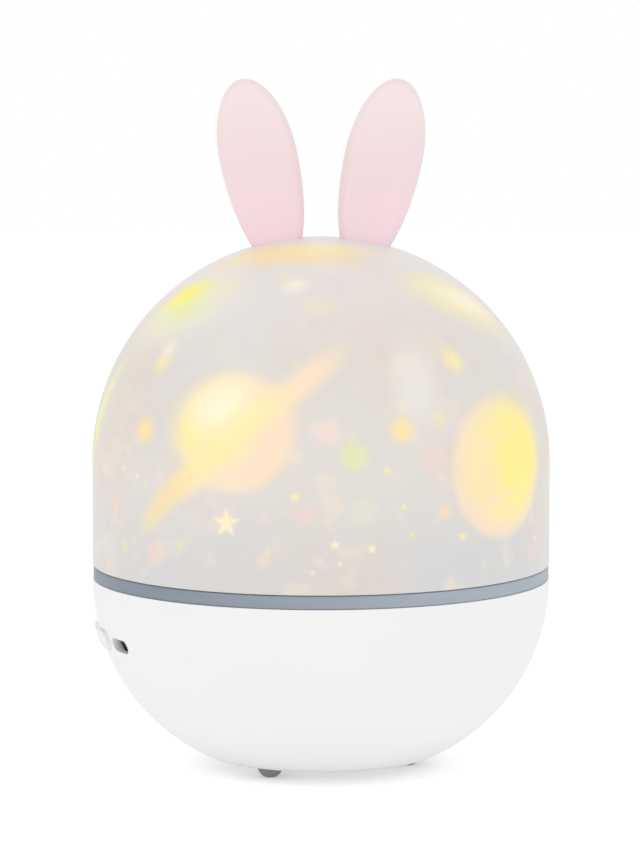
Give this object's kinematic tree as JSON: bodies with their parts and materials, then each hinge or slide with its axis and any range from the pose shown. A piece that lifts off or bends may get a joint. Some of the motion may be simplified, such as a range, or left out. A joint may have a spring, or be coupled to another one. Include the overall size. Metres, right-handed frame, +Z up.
{
  "type": "star night light projector",
  "caption": "Round tabletop night light with a lift-off frosted cover with two soft ears, over a motor-turned clear film dome and a fixed light.",
  "frame": {"origin": "centre of the lamp on the table, under its axis", "axes": "+Z up along the lamp's axis, -Y towards the front where the two ears stand side by side along X, controls on the -X side"},
  "size_m": [0.13, 0.13, 0.1961],
  "materials": {
    "white_shell": "satin",
    "silver_trim": "satin metallic",
    "white_inner": "satin",
    "foot_rubber": "matte",
    "screw_steel": "bright",
    "frosted_cover": "satin, translucent",
    "ear_silicone": "matte",
    "clear_shell": "clear",
    "printed_film": "printed film",
    "board_white": "satin",
    "led_yellow": "matte",
    "clear_lens": "clear",
    "gear_plastic": "matte",
    "motor_steel": "satin",
    "shaft_steel": "bright",
    "board_green": "satin",
    "chip_black": "matte",
    "connector_white": "matte",
    "port_steel": "satin",
    "button_white": "satin",
    "cell_wrap": "satin wrap",
    "foam_pad": "foam",
    "lead_red": "satin",
    "lead_blue": "satin",
    "lead_orange": "satin"
  },
  "bodies": {
    "base": {"bowl_shell": "white_shell", "trim_ring": "silver_trim", "top_deck": "white_inner", "rubber_feet": "foot_rubber", "case_screws": "screw_steel", "led_post": "white_inner", "post_screws": "screw_steel", "led_board": "board_white", "led_chips": "led_yellow", "led_lens": "clear_lens", "lens_screws": "screw_steel", "motor_gearbox": "gear_plastic", "motor_can": "motor_steel", "motor_screws": "screw_steel", "main_board": "board_green", "board_screws": "screw_steel", "board_parts": "chip_black", "board_connectors": "connector_white", "push_switches": "chip_black", "usb_socket": "port_steel", "battery_cell": "cell_wrap", "battery_pad": "foam_pad", "battery_leads": "lead_red", "motor_leads": "lead_blue", "led_leads": "lead_orange"},
    "cover": {"dome_cover": "frosted_cover", "left_ear": "ear_silicone", "right_ear": "ear_silicone"},
    "turntable": {"turntable": "white_inner", "inner_film_dome": "clear_shell", "projection_film": "printed_film", "outer_film_dome": "clear_shell"},
    "pinion": {"output_shaft": "shaft_steel", "drive_pinion": "gear_plastic"},
    "power_button": {"power_button": "button_white"},
    "colour_button": {"colour_button": "button_white"},
    "rotation_button": {"rotation_button": "button_white"},
    "timer_button": {"timer_button": "button_white"}
  },
  "joints": [
    {"name": "cover_lift", "type": "slide", "parent": "base", "child": "cover", "axis": [0, 0, 1], "range_m": [0, 0.1]},
    {"name": "turntable_spin", "type": "hinge", "parent": "base", "child": "turntable", "pos_m": [0, 0, 0.0576], "axis": [0, 0, 1], "continuous": true},
    {"name": "pinion_spin", "type": "hinge", "parent": "base", "child": "pinion", "pos_m": [0.02546, 0.02546, 0.0529], "axis": [0, 0, 1], "continuous": true},
    {"name": "power_button_press", "type": "slide", "parent": "base", "child": "power_button", "axis": [0.9154, -0.4025, 0], "range_m": [0, 0.001], "stiffness_N_per_m": 800},
    {"name": "colour_button_press", "type": "slide", "parent": "base", "child": "colour_button", "axis": [0.9808, -0.195, 0], "range_m": [0, 0.001], "stiffness_N_per_m": 800},
    {"name": "rotation_button_press", "type": "slide", "parent": "base", "child": "rotation_button", "axis": [0.9998, 0.0217, 0], "range_m": [0, 0.001], "stiffness_N_per_m": 800},
    {"name": "timer_button_press", "type": "slide", "parent": "base", "child": "timer_button", "axis": [0.9714, 0.2374, 0], "range_m": [0, 0.001], "stiffness_N_per_m": 800}
  ],
  "couplings": [
    {"joint": "pinion_spin", "follows": "turntable_spin", "ratio": -4}
  ]
}
